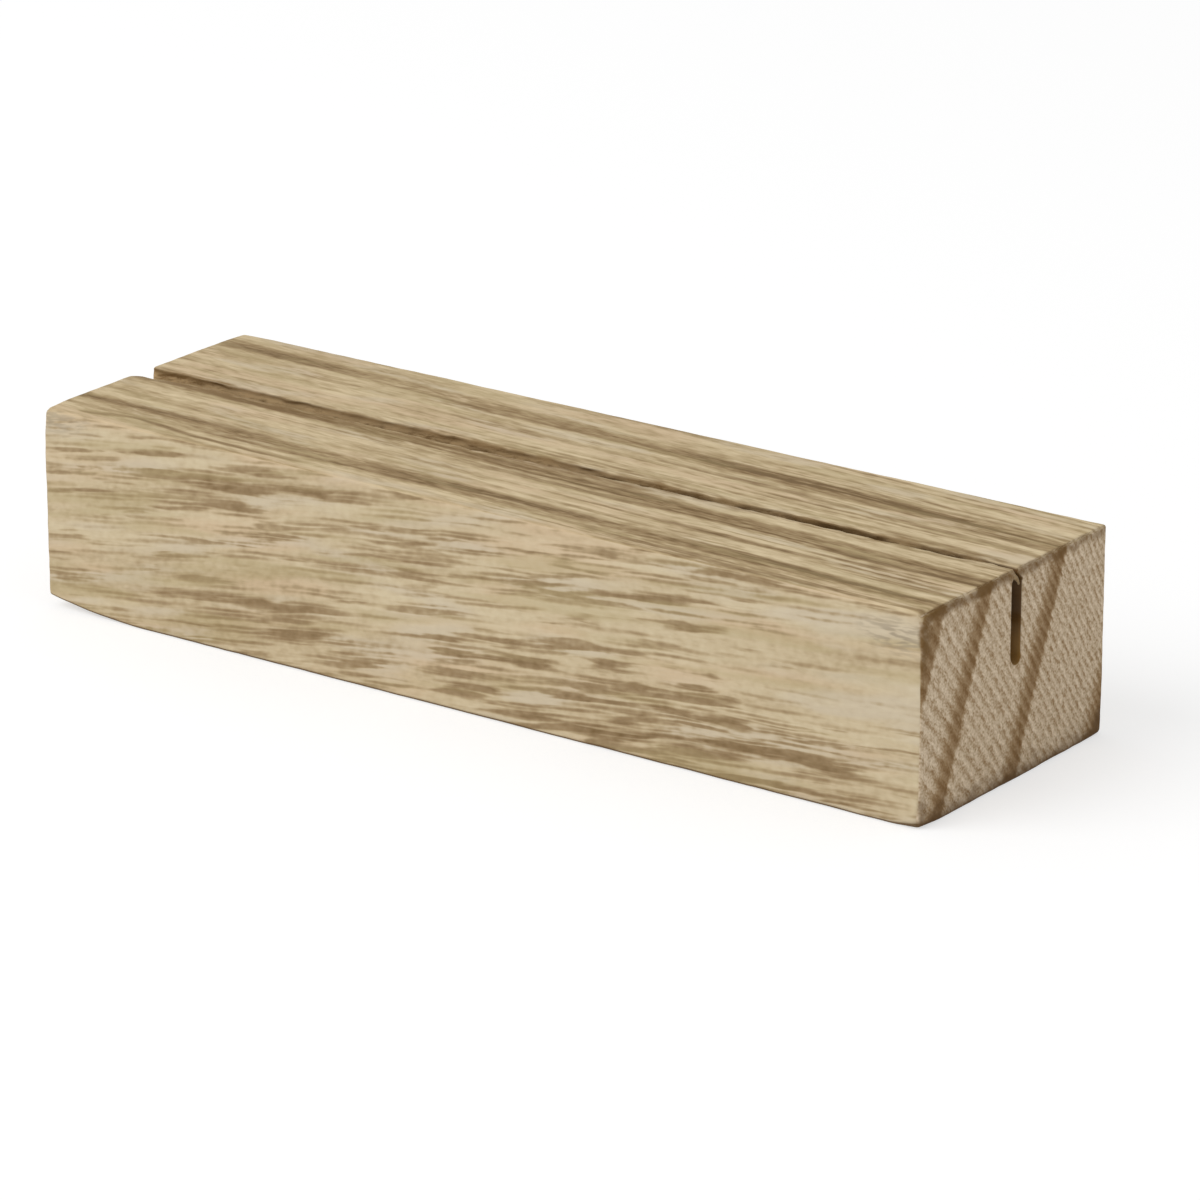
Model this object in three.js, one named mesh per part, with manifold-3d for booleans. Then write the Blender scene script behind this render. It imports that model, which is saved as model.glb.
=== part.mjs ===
// Wooden business card holder: one block of pale, open-grained timber with a saw kerf along its whole top,
// which grips the lower edge of a standing card. It has no other piece, fastener or foot.
//
// Millimetres, +Z up. The origin is the middle of the underside, +X runs along the kerf and -Y is the front.

import * as THREE from 'three';
import { mergeVertices } from 'three/addons/utils/BufferGeometryUtils.js';
import Module from 'manifold-3d';

// The block, cut square on all six sides.
const BLOCK_LENGTH = 100;
const BLOCK_DEPTH = 30;
const BLOCK_HEIGHT = 20;

// Sanding eases the long arrises a little less than those round the sawn ends.
const LONG_ARRIS_RADIUS = 0.6;
const END_ARRIS_RADIUS = 0.8;

// The belt also dubbed the underside over: it rises in a flat arc towards the left end.
const DUBBED_LENGTH = 12;
const DUBBED_RISE = 1.2;

// The kerf, sawn down the middle of the top and out through both ends.
const KERF_WIDTH = 2;
const KERF_DEPTH = 9;
const KERF_FLOOR_RADIUS = 0.6;
const KERF_MOUTH_EASING = 0.25;

// Facets of each round stretch.
const ARC_FACETS = 6;
const ARRIS_FACETS = 5;

// How far the solid that cuts the kerf stands clear of the block.
const CUTTER_OVERRUN = 2;

const wasm = await Module();
wasm.setup();

// A closed three.js geometry as a solid that can be cut.
function toSolid(geometry) {
  const bare = geometry.clone();
  bare.deleteAttribute('normal');
  bare.deleteAttribute('uv');
  const welded = mergeVertices(bare);
  return new wasm.Manifold(new wasm.Mesh({
    numProp: 3,
    vertProperties: new Float32Array(welded.attributes.position.array),
    triVerts: new Uint32Array(welded.index.array),
  }));
}

// A cut solid as a three.js geometry again.
function toGeometry(solid) {
  const mesh = solid.getMesh();
  const geometry = new THREE.BufferGeometry();
  geometry.setAttribute('position', new THREE.BufferAttribute(mesh.vertProperties, mesh.numProp));
  geometry.setIndex(new THREE.BufferAttribute(mesh.triVerts, 1));
  geometry.computeVertexNormals();
  return geometry;
}

// The block's outline from the front, counter-clockwise from where its underside begins to lie flat.
function sideOutline() {
  const right = BLOCK_LENGTH / 2;
  const left = -right;
  const corner = END_ARRIS_RADIUS;
  const flatStart = left + DUBBED_LENGTH;
  const dubbedRadius = (DUBBED_LENGTH ** 2 + DUBBED_RISE ** 2) / (2 * DUBBED_RISE);

  // The lower left corner is an arc that touches both the dubbed underside and the left end.
  const acrossToCorner = DUBBED_LENGTH - corner;
  const downToCorner = Math.sqrt((dubbedRadius - corner) ** 2 - acrossToCorner ** 2);
  const cornerHeight = dubbedRadius - downToCorner;
  const dubbedAngle = 1.5 * Math.PI - Math.atan2(acrossToCorner, downToCorner);

  const outline = new THREE.Shape();
  outline.moveTo(flatStart, 0);
  outline.absarc(right - corner, corner, corner, -0.5 * Math.PI, 0);
  outline.absarc(right - corner, BLOCK_HEIGHT - corner, corner, 0, 0.5 * Math.PI);
  outline.absarc(left + corner, BLOCK_HEIGHT - corner, corner, 0.5 * Math.PI, Math.PI);
  outline.absarc(left + corner, cornerHeight, corner, Math.PI, dubbedAngle);
  outline.absarc(flatStart, dubbedRadius, dubbedRadius, dubbedAngle, 1.5 * Math.PI);
  return outline;
}

// The outline carried from back to front, with the long arrises rounded over at both faces.
function blockBlank() {
  const blank = new THREE.ExtrudeGeometry(sideOutline(), {
    depth: BLOCK_DEPTH - 2 * LONG_ARRIS_RADIUS,
    curveSegments: ARC_FACETS,
    bevelEnabled: true,
    bevelThickness: LONG_ARRIS_RADIUS,
    bevelSize: LONG_ARRIS_RADIUS,
    bevelOffset: -LONG_ARRIS_RADIUS,
    bevelSegments: ARRIS_FACETS,
  });
  blank.rotateX(0.5 * Math.PI);
  blank.translate(0, BLOCK_DEPTH / 2 - LONG_ARRIS_RADIUS, 0);
  return blank;
}

// The kerf's section from the right end: a floor with round corners, upright walls and an eased mouth.
function kerfOutline() {
  const wall = KERF_WIDTH / 2;
  const floor = BLOCK_HEIGHT - KERF_DEPTH;
  const bend = KERF_FLOOR_RADIUS;
  const lip = KERF_MOUTH_EASING;
  const clear = BLOCK_HEIGHT + CUTTER_OVERRUN;

  const outline = new THREE.Shape();
  outline.moveTo(-wall - lip, clear);
  outline.absarc(-wall - lip, BLOCK_HEIGHT - lip, lip, 0.5 * Math.PI, 0, true);
  outline.absarc(-wall + bend, floor + bend, bend, Math.PI, 1.5 * Math.PI);
  outline.absarc(wall - bend, floor + bend, bend, -0.5 * Math.PI, 0);
  outline.absarc(wall + lip, BLOCK_HEIGHT - lip, lip, Math.PI, 0.5 * Math.PI, true);
  outline.lineTo(wall + lip, clear);
  return outline;
}

// The section carried along the block, past both ends.
function kerfCutter() {
  const length = BLOCK_LENGTH + 2 * CUTTER_OVERRUN;
  const cutter = new THREE.ExtrudeGeometry(kerfOutline(), {
    depth: length,
    curveSegments: ARC_FACETS,
    bevelEnabled: false,
  });
  const acrossTheBlock = new THREE.Vector3(0, 1, 0);
  const upTheBlock = new THREE.Vector3(0, 0, 1);
  const alongTheBlock = new THREE.Vector3(1, 0, 0);
  cutter.applyMatrix4(new THREE.Matrix4().makeBasis(acrossTheBlock, upTheBlock, alongTheBlock));
  cutter.translate(-length / 2, 0, 0);
  return cutter;
}

const timber = new THREE.MeshStandardMaterial({ color: 0xbaa888, roughness: 0.75, metalness: 0 });

const slottedBlock = new THREE.Mesh(
  toGeometry(toSolid(blockBlank()).subtract(toSolid(kerfCutter()))),
  timber,
);
slottedBlock.name = 'slotted_block';

const cardHolder = new THREE.Group();
cardHolder.name = 'business_card_holder';
cardHolder.add(slottedBlock);

export default cardHolder;
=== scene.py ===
import math

import bpy
import numpy as np
from mathutils import Matrix, Vector, noise


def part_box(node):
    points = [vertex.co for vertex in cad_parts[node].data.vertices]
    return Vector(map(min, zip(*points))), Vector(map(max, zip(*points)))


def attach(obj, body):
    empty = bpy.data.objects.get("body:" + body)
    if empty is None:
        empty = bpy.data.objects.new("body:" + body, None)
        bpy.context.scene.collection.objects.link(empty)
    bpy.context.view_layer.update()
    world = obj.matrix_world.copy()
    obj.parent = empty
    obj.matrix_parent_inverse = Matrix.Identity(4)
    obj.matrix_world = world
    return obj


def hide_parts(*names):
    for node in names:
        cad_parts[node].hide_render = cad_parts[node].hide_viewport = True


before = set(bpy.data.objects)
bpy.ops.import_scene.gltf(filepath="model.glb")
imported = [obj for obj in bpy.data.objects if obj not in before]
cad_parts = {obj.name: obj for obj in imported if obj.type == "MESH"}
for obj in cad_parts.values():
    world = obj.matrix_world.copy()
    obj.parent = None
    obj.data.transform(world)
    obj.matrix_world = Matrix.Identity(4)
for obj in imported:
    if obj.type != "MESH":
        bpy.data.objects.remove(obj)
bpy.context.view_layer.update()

# The viewpoint: a long lens, a little above the block and round to its right, so that the front, the top and
# the right end show. It was fitted to the block's corners.
MM = 0.001
VIEW_AZIMUTH = math.radians(36.268)
VIEW_ELEVATION = math.radians(19.496)
VIEW_ROLL = math.radians(-0.117)
VIEW_DISTANCE = 572.578 * MM
VIEW_AIM = Vector((4.571, 0.0, 7.636)) * MM
LENS_LENGTH = 185.564
SENSOR_WIDTH = 36.0
NEAREST_SEEN = 10.0 * MM

towards_camera = Vector((
    math.sin(VIEW_AZIMUTH) * math.cos(VIEW_ELEVATION),
    -math.cos(VIEW_AZIMUTH) * math.cos(VIEW_ELEVATION),
    math.sin(VIEW_ELEVATION),
))
level_right = Vector((math.cos(VIEW_AZIMUTH), math.sin(VIEW_AZIMUTH), 0.0))
level_up = towards_camera.cross(level_right)
camera_axes = Matrix((level_right, level_up, towards_camera)).transposed().to_4x4()

camera_data = bpy.data.cameras.new("camera")
camera_data.lens = LENS_LENGTH
camera_data.sensor_width = SENSOR_WIDTH
camera_data.clip_start = NEAREST_SEEN
camera = bpy.data.objects.new("camera", camera_data)
camera.matrix_world = (
    Matrix.Translation(VIEW_AIM + towards_camera * VIEW_DISTANCE)
    @ camera_axes
    @ Matrix.Rotation(VIEW_ROLL, 4, "Z")
)
bpy.context.collection.objects.link(camera)
bpy.context.scene.camera = camera
bpy.context.scene.view_settings.view_transform = "Standard"

# The floor and the light: a white table in an even white room, with one large soft lamp up at the front left.
# The floor is matt and keeps the block's shadow, which the room's own brightness makes faint.
FLOOR_SIZE = 4.0
FLOOR_GREY = 0.9
FLOOR_LIFT = 0.45
FLOOR_GLOW = 1.27
ROOM_WHITE = (1.0, 1.0, 1.0, 1.0)
ROOM_STRENGTH = 0.61
LAMP_POWER = 6.0
LAMP_SIZE = 0.9
LAMP_DIRECTION = Vector((-0.35, -0.62, 0.70))
LAMP_DISTANCE = 1.1


def feed(socket, value):
    """Joins a socket to another node's output, or sets it to a plain value."""
    if isinstance(value, bpy.types.NodeSocket):
        socket.id_data.links.new(value, socket)
    else:
        socket.default_value = value


def seen_ray(tree):
    """A share of 1 for the rays that show the background: straight, mirrored or through glass."""
    path = tree.nodes.new("ShaderNodeLightPath")
    share = path.outputs["Is Camera Ray"]
    for other in ("Is Glossy Ray", "Is Transmission Ray"):
        either = tree.nodes.new("ShaderNodeMath")
        either.operation = "MAXIMUM"
        feed(either.inputs[0], share)
        feed(either.inputs[1], path.outputs[other])
        share = either.outputs[0]
    return share


room = bpy.data.worlds.new("white_room")
room.use_nodes = True
room_tree = room.node_tree
room_tree.nodes.clear()
room_light = room_tree.nodes.new("ShaderNodeBackground")
feed(room_light.inputs["Strength"], ROOM_STRENGTH)
feed(room_light.inputs["Color"], ROOM_WHITE)
room_seen = room_tree.nodes.new("ShaderNodeBackground")
feed(room_seen.inputs["Color"], ROOM_WHITE)
room_mix = room_tree.nodes.new("ShaderNodeMixShader")
feed(room_mix.inputs[0], seen_ray(room_tree))
feed(room_mix.inputs[1], room_light.outputs[0])
feed(room_mix.inputs[2], room_seen.outputs[0])
room_output = room_tree.nodes.new("ShaderNodeOutputWorld")
feed(room_output.inputs["Surface"], room_mix.outputs[0])
bpy.context.scene.world = room

lamp_data = bpy.data.lights.new("soft_lamp", "AREA")
lamp_data.shape = "DISK"
lamp_data.size = LAMP_SIZE
lamp_data.energy = LAMP_POWER
lamp = bpy.data.objects.new("soft_lamp", lamp_data)
lamp.location = LAMP_DIRECTION.normalized() * LAMP_DISTANCE
lamp.rotation_euler = LAMP_DIRECTION.to_track_quat("Z", "Y").to_euler()
bpy.context.collection.objects.link(lamp)

floor_paint = bpy.data.materials.new("white_table")
floor_paint.use_nodes = True
floor_tree = floor_paint.node_tree
floor_shader = floor_tree.nodes["Principled BSDF"]
feed(floor_shader.inputs["Base Color"], (FLOOR_GREY, FLOOR_GREY, FLOOR_GREY, 1.0))
feed(floor_shader.inputs["Roughness"], 1.0)
feed(floor_shader.inputs["Specular IOR Level"], 0.0)
floor_glow = floor_tree.nodes.new("ShaderNodeEmission")
feed(floor_glow.inputs["Strength"], FLOOR_GLOW)
floor_share = floor_tree.nodes.new("ShaderNodeMath")
floor_share.operation = "MULTIPLY"
feed(floor_share.inputs[0], seen_ray(floor_tree))
feed(floor_share.inputs[1], FLOOR_LIFT)
floor_mix = floor_tree.nodes.new("ShaderNodeMixShader")
feed(floor_mix.inputs[0], floor_share.outputs[0])
feed(floor_mix.inputs[1], floor_shader.outputs[0])
feed(floor_mix.inputs[2], floor_glow.outputs[0])
feed(floor_tree.nodes["Material Output"].inputs["Surface"], floor_mix.outputs[0])

floor_mesh = bpy.data.meshes.new("floor")
half_floor = FLOOR_SIZE / 2
floor_mesh.from_pydata(
    [(x * half_floor, y * half_floor, 0.0) for x, y in ((-1, -1), (1, -1), (1, 1), (-1, 1))],
    [],
    [(0, 1, 2, 3)],
)
floor_mesh.materials.append(floor_paint)
floor = bpy.data.objects.new("floor", floor_mesh)
bpy.context.collection.objects.link(floor)

# The block: one length of pale, wide-ringed timber, sawn square, with a single saw kerf run down the middle of
# its top to grip a card. It was sanded on a belt, which eased every edge and dubbed the left end's underside.
# All sizes below are millimetres, and the outer ones come from the block's part in model.glb.
block_low, block_high = (np.array(corner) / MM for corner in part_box("slotted_block"))
LEFT, FRONT, UNDERSIDE = block_low
RIGHT, BACK, TOP = block_high
KERF_WALL = 1.0
KERF_DEPTH = 9.0
KERF_FLOOR = TOP - KERF_DEPTH
KERF_BEND = 0.9
LIP_EASING = 0.25
ARRIS_RADIUS = 0.32
CRISP_RADIUS = 0.22
CRISP_LENGTH = 2.5
ARRIS_WOBBLE = 0.08
BLUNT_CORNERS = (
    ((LEFT, FRONT, TOP), 0.5),
    ((LEFT, BACK, TOP), 0.4),
    ((RIGHT, BACK, UNDERSIDE), 0.2),
    ((RIGHT, FRONT, UNDERSIDE), 0.5),
    ((RIGHT, FRONT, TOP), 0.8),
)
BLUNT_REACH = 2.0
DUBBED_LENGTH = 12.0
DUBBED_RISE = 1.2
DUBBED_DEPTH = 7.0
WORN_LIP_DROP = 0.38
WORN_LIP_LENGTH = 3.7
WORN_LIP_WIDTH = 1.4
WORN_LIP_DEPTH = 2.0

# The mesh's grid lines are an even step apart, with closer ones at these distances from an edge or a bend.
ALONG_STEP = 0.8
ACROSS_STEP = 0.3
ARRIS_LINES = (0.0, 0.07, 0.16, 0.28, 0.43, 0.62, 0.85)
LIP_LINES = (0.0, 0.06, 0.13, 0.21, 0.32)
BEND_LINES = (0.0, 0.12, 0.27, 0.45, 0.66, 0.9)
NO_LINES = (0.0,)
TOUCHING = 1e-6
FAR = 1000.0

# Noise on the mesh is given by the length and the thickness of its patches, and a seed.
ARRIS_WAVES = (7.0, 5.0, 3.1)
ARRIS_NICKS = (1.7, 1.7, 6.4)


def grid_lines(start, stop, step, after_start, before_stop):
    """Grid lines a step apart from start to stop, with closer ones at the given distances from each."""
    first = start + after_start[-1]
    last = stop - before_stop[-1]
    even = np.linspace(first, last, round((last - first) / step) + 1)
    return np.concatenate([
        start + np.array(after_start[:-1]),
        even,
        stop - np.array(before_stop[:-1])[::-1],
    ])


def grid_block():
    """The sawn block as a grid of squares over its faces and kerf: its points and its outward quads."""
    along = grid_lines(LEFT, RIGHT, ALONG_STEP, ARRIS_LINES, ARRIS_LINES)
    across = np.concatenate([
        grid_lines(FRONT, -KERF_WALL, ACROSS_STEP, ARRIS_LINES, LIP_LINES),
        grid_lines(-KERF_WALL, KERF_WALL, ACROSS_STEP, BEND_LINES, BEND_LINES)[1:],
        grid_lines(KERF_WALL, BACK, ACROSS_STEP, LIP_LINES, ARRIS_LINES)[1:],
    ])
    up = np.concatenate([
        grid_lines(UNDERSIDE, KERF_FLOOR, ACROSS_STEP, ARRIS_LINES, NO_LINES),
        grid_lines(KERF_FLOOR, TOP, ACROSS_STEP, BEND_LINES, ARRIS_LINES)[1:],
    ])
    middle_across = (across[1:] + across[:-1]) / 2
    middle_up = (up[1:] + up[:-1]) / 2
    wood = ~((np.abs(middle_across) < KERF_WALL)[:, None] & (middle_up > KERF_FLOOR)[None, :])
    quads = []

    def point_number(i, j, k):
        return (i * len(across) + j) * len(up) + k

    def add_quads(i, j, k, one, two, outward):
        """Squares from a grid point along two grid steps, turned so that their faces point out."""
        first = point_number(i, j, k)
        second = point_number(i + one[0], j + one[1], k + one[2])
        third = point_number(i + one[0] + two[0], j + one[1] + two[1], k + one[2] + two[2])
        fourth = point_number(i + two[0], j + two[1], k + two[2])
        outline = [first, second, third, fourth] if outward else [first, fourth, third, second]
        quads.append(np.stack(outline, axis=-1).reshape(-1, 4))

    cell_j, cell_k = np.nonzero(wood)
    for station, outward in ((0, False), (len(along) - 1, True)):
        add_quads(np.full_like(cell_j, station), cell_j, cell_k, (0, 1, 0), (0, 0, 1), outward)

    stations = np.arange(len(along) - 1)[:, None]
    walled = np.pad(wood, 1)
    for outward in (True, False):
        before = walled[:-1, 1:-1]
        after = walled[1:, 1:-1]
        wall_j, wall_k = np.nonzero(before & ~after if outward else ~before & after)
        add_quads(stations, wall_j[None], wall_k[None], (0, 0, 1), (1, 0, 0), outward)
        below = walled[1:-1, :-1]
        above = walled[1:-1, 1:]
        level_j, level_k = np.nonzero(below & ~above if outward else ~below & above)
        add_quads(stations, level_j[None], level_k[None], (1, 0, 0), (0, 1, 0), outward)

    used, faces = np.unique(np.concatenate(quads), return_inverse=True)
    i, rest = np.divmod(used, len(across) * len(up))
    j, k = np.divmod(rest, len(up))
    return np.stack([along[i], across[j], up[k]], axis=1), faces.reshape(-1, 4)


def ease(points, low, high, radius):
    """Rounds the edges of the box from low to high over, for points that lie on its faces."""
    inner = np.clip(points, low + radius, high - radius)
    out = points - inner
    reach = np.linalg.norm(out, axis=1, keepdims=True)
    largest = np.abs(out).max(axis=1, keepdims=True)
    return inner + out * (largest / np.maximum(reach, TOUCHING))


def wander(points, length, thickness, seed):
    """Smooth noise from -1 to 1 at each point, in patches of a given length and thickness."""
    scaled = points / np.array((length, thickness, thickness)) + seed
    return np.array([noise.noise(point) for point in scaled])


def ramp(value, start, end):
    """An S-curve from 0 at the start to 1 at the end, whichever of the two is the larger."""
    share = np.clip((value - start) / (end - start), 0.0, 1.0)
    return share * share * (3.0 - 2.0 * share)


def near(distance, reach):
    """A share of 1 at no distance that has faded away by about twice the reach."""
    return np.exp(-((distance / reach) ** 2))


points, faces = grid_block()
x, y, z = points.T
in_kerf = (np.abs(y) <= KERF_WALL + TOUCHING) & (z >= KERF_FLOOR - TOUCHING)
front_of_kerf = y <= -KERF_WALL + TOUCHING
back_of_kerf = y >= KERF_WALL - TOUCHING
for part, low, high, radius in (
    (in_kerf, (-FAR, -KERF_WALL, KERF_FLOOR), (FAR, KERF_WALL, FAR), KERF_BEND),
    (front_of_kerf, (LEFT, -FAR, -FAR), (RIGHT, -KERF_WALL, TOP), LIP_EASING),
    (back_of_kerf, (LEFT, KERF_WALL, -FAR), (RIGHT, FAR, TOP), LIP_EASING),
):
    points[part] = ease(points[part], np.array(low), np.array(high), radius)

arris_radius = ARRIS_RADIUS + (CRISP_RADIUS - ARRIS_RADIUS) * near(x - LEFT, CRISP_LENGTH)
arris_radius += ARRIS_WOBBLE * (wander(points, *ARRIS_WAVES) + wander(points, *ARRIS_NICKS))
for corner, more in BLUNT_CORNERS:
    arris_radius += more * near(np.linalg.norm(points - corner, axis=1), BLUNT_REACH)
points = ease(points, block_low, block_high, arris_radius[:, None])

# From here on x, y and z are the columns of the finished points themselves and follow every change to them.
x, y, z = points.T
dubbed_radius = (DUBBED_LENGTH ** 2 + DUBBED_RISE ** 2) / (2 * DUBBED_RISE)
past_flat = np.clip(LEFT + DUBBED_LENGTH - x, 0.0, DUBBED_LENGTH)
dubbed_rise = dubbed_radius - np.sqrt(dubbed_radius ** 2 - past_flat ** 2)
points[:, 2] += dubbed_rise * ramp(z, UNDERSIDE + DUBBED_DEPTH, UNDERSIDE)
beside_lip = np.clip(1.0 + (y + KERF_WALL) / WORN_LIP_WIDTH, 0.0, 1.0)
worn = near(x - LEFT, WORN_LIP_LENGTH) * beside_lip * ramp(z, TOP - WORN_LIP_DEPTH, TOP)
points[:, 2] -= WORN_LIP_DROP * worn * front_of_kerf

# The kerf: one pass of a thin blade that ran out a little, so it narrows towards the right. Its lips are
# frayed all along, close over the cut near the right end, and are stained brown, furthest in front of its
# left half.
KERF_NARROWING = 0.4
NARROWS_FROM = -12.0
NARROWS_TO = 18.0
FOLLOWING_WIDTH = 1.4
FOLLOWING_DEPTH = 2.0
LIP_REACH = 0.7
FRAYED_LIP = 0.28
FRAYED_DEPTH = 1.6
FRAY_TEARS = (1.9, 0.9, 4.4)
FRAY_HAIRS = (0.8, 0.6, 9.2)
HAIR_SHARE = 0.5
CLOSED_LIP = 0.62
SLOW_CLOSING = 0.30
CLOSING_FROM = -10.0
CLOSING_TO = 20.0
CLOSED_FROM = 42.5
CLOSED_TO = 49.0
CLOSED_DEPTH = 1.3
FULLY_CLOSED_DEPTH = 0.6
CLOSED_UNEVEN = 0.4
CLOSED_PATCHES = (1.5, 1.5, 5.9)
BACK_STAIN = 0.65
BACK_STAIN_REACH = 0.6
FRONT_STAIN = 0.78
FRONT_STAIN_REACH = 0.55
LEFT_STAIN_REACH = 2.0
LEFT_STAIN_FROM = 10.0
LEFT_STAIN_TO = -8.0
STAIN_DEPTH = 0.6

before_lip = ramp(y, -KERF_WALL - FOLLOWING_WIDTH, -KERF_WALL)
across_kerf = np.clip((KERF_WALL - y) / (2 * KERF_WALL), 0.0, 1.0)
front_lip_share = np.where(y < -KERF_WALL, before_lip, across_kerf)
front_lip_share *= ramp(z, KERF_FLOOR - FOLLOWING_DEPTH, KERF_FLOOR)
points[:, 1] += KERF_NARROWING * ramp(x, NARROWS_FROM, NARROWS_TO) * front_lip_share

near_lip = near(np.abs(y) - KERF_WALL, LIP_REACH)
fray = wander(points, *FRAY_TEARS) + HAIR_SHARE * wander(points, *FRAY_HAIRS)
points[:, 1] += FRAYED_LIP * fray * near_lip * ramp(z, TOP - FRAYED_DEPTH, TOP)

closing = SLOW_CLOSING * ramp(x, CLOSING_FROM, CLOSING_TO)
closing += (1.0 - SLOW_CLOSING) * ramp(x, CLOSED_FROM, CLOSED_TO)
closing *= CLOSED_LIP * (1.0 + CLOSED_UNEVEN * wander(points, *CLOSED_PATCHES))
closing *= ramp(z, TOP - CLOSED_DEPTH, TOP - FULLY_CLOSED_DEPTH) * near_lip
points[:, 1] -= closing * np.where(back_of_kerf | (in_kerf & (y > 0)), 1.0, -1.0)

kerf_depth = np.where(in_kerf, TOP - z, 0.0)
from_kerf = np.maximum(np.abs(y) - KERF_WALL, 0.0)
front_reach = FRONT_STAIN_REACH + LEFT_STAIN_REACH * ramp(x, LEFT_STAIN_FROM, LEFT_STAIN_TO)
stain_reach = np.where(y > 0, BACK_STAIN_REACH, front_reach)
lip_stain = np.where(y > 0, BACK_STAIN, FRONT_STAIN) * near(from_kerf, stain_reach) * (z > TOP - STAIN_DEPTH)

# The grain. The fibres climb towards the right and lean a little forward, and the growth rings lie in sheets
# that come forward as they go down and to the right. A ring is told by where its sheet would meet the top at
# mid-length, and a row of cells on the end by its count along the rows, which stand closer towards the back.
FIBRE_CLIMB_LEFT = 0.148
FIBRE_CLIMB_RIGHT = 0.068
FIBRE_LEAN = 0.015
FIBRE_WANDER = 0.35
FIBRE_SIDE_BENDS = (22.0, 7.0, 2.3)
FIBRE_UP_BENDS = (22.0, 7.0, 8.7)
RING_LEAN = 0.42
RING_DRIFT = 0.036
RING_FAN = 0.0009
RING_WANDER = 0.35
RING_BENDS = (16.0, 9.0, 1.9)
ROW_DIRECTION = (0.77, 0.64)
ROWS_PER_MM = 0.94
ROWS_CLOSER = 0.015

from_left = x - LEFT
climb_change = (FIBRE_CLIMB_LEFT - FIBRE_CLIMB_RIGHT) / (RIGHT - LEFT)
climb = FIBRE_CLIMB_LEFT * from_left - climb_change * from_left ** 2 / 2
grain = np.stack([
    x,
    y + FIBRE_LEAN * x + FIBRE_WANDER * wander(points, *FIBRE_SIDE_BENDS),
    z - climb + FIBRE_WANDER * wander(points, *FIBRE_UP_BENDS),
], axis=1)
ring = y + RING_LEAN * (TOP - z) + (RING_DRIFT + RING_FAN * y) * x
ring += RING_WANDER * wander(points, *RING_BENDS)
sheet = np.stack([x, ring, grain[:, 2]], axis=1)
rows = (ROW_DIRECTION[0] * y + ROW_DIRECTION[1] * z) * (ROWS_PER_MM + ROWS_CLOSER * y)

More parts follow.
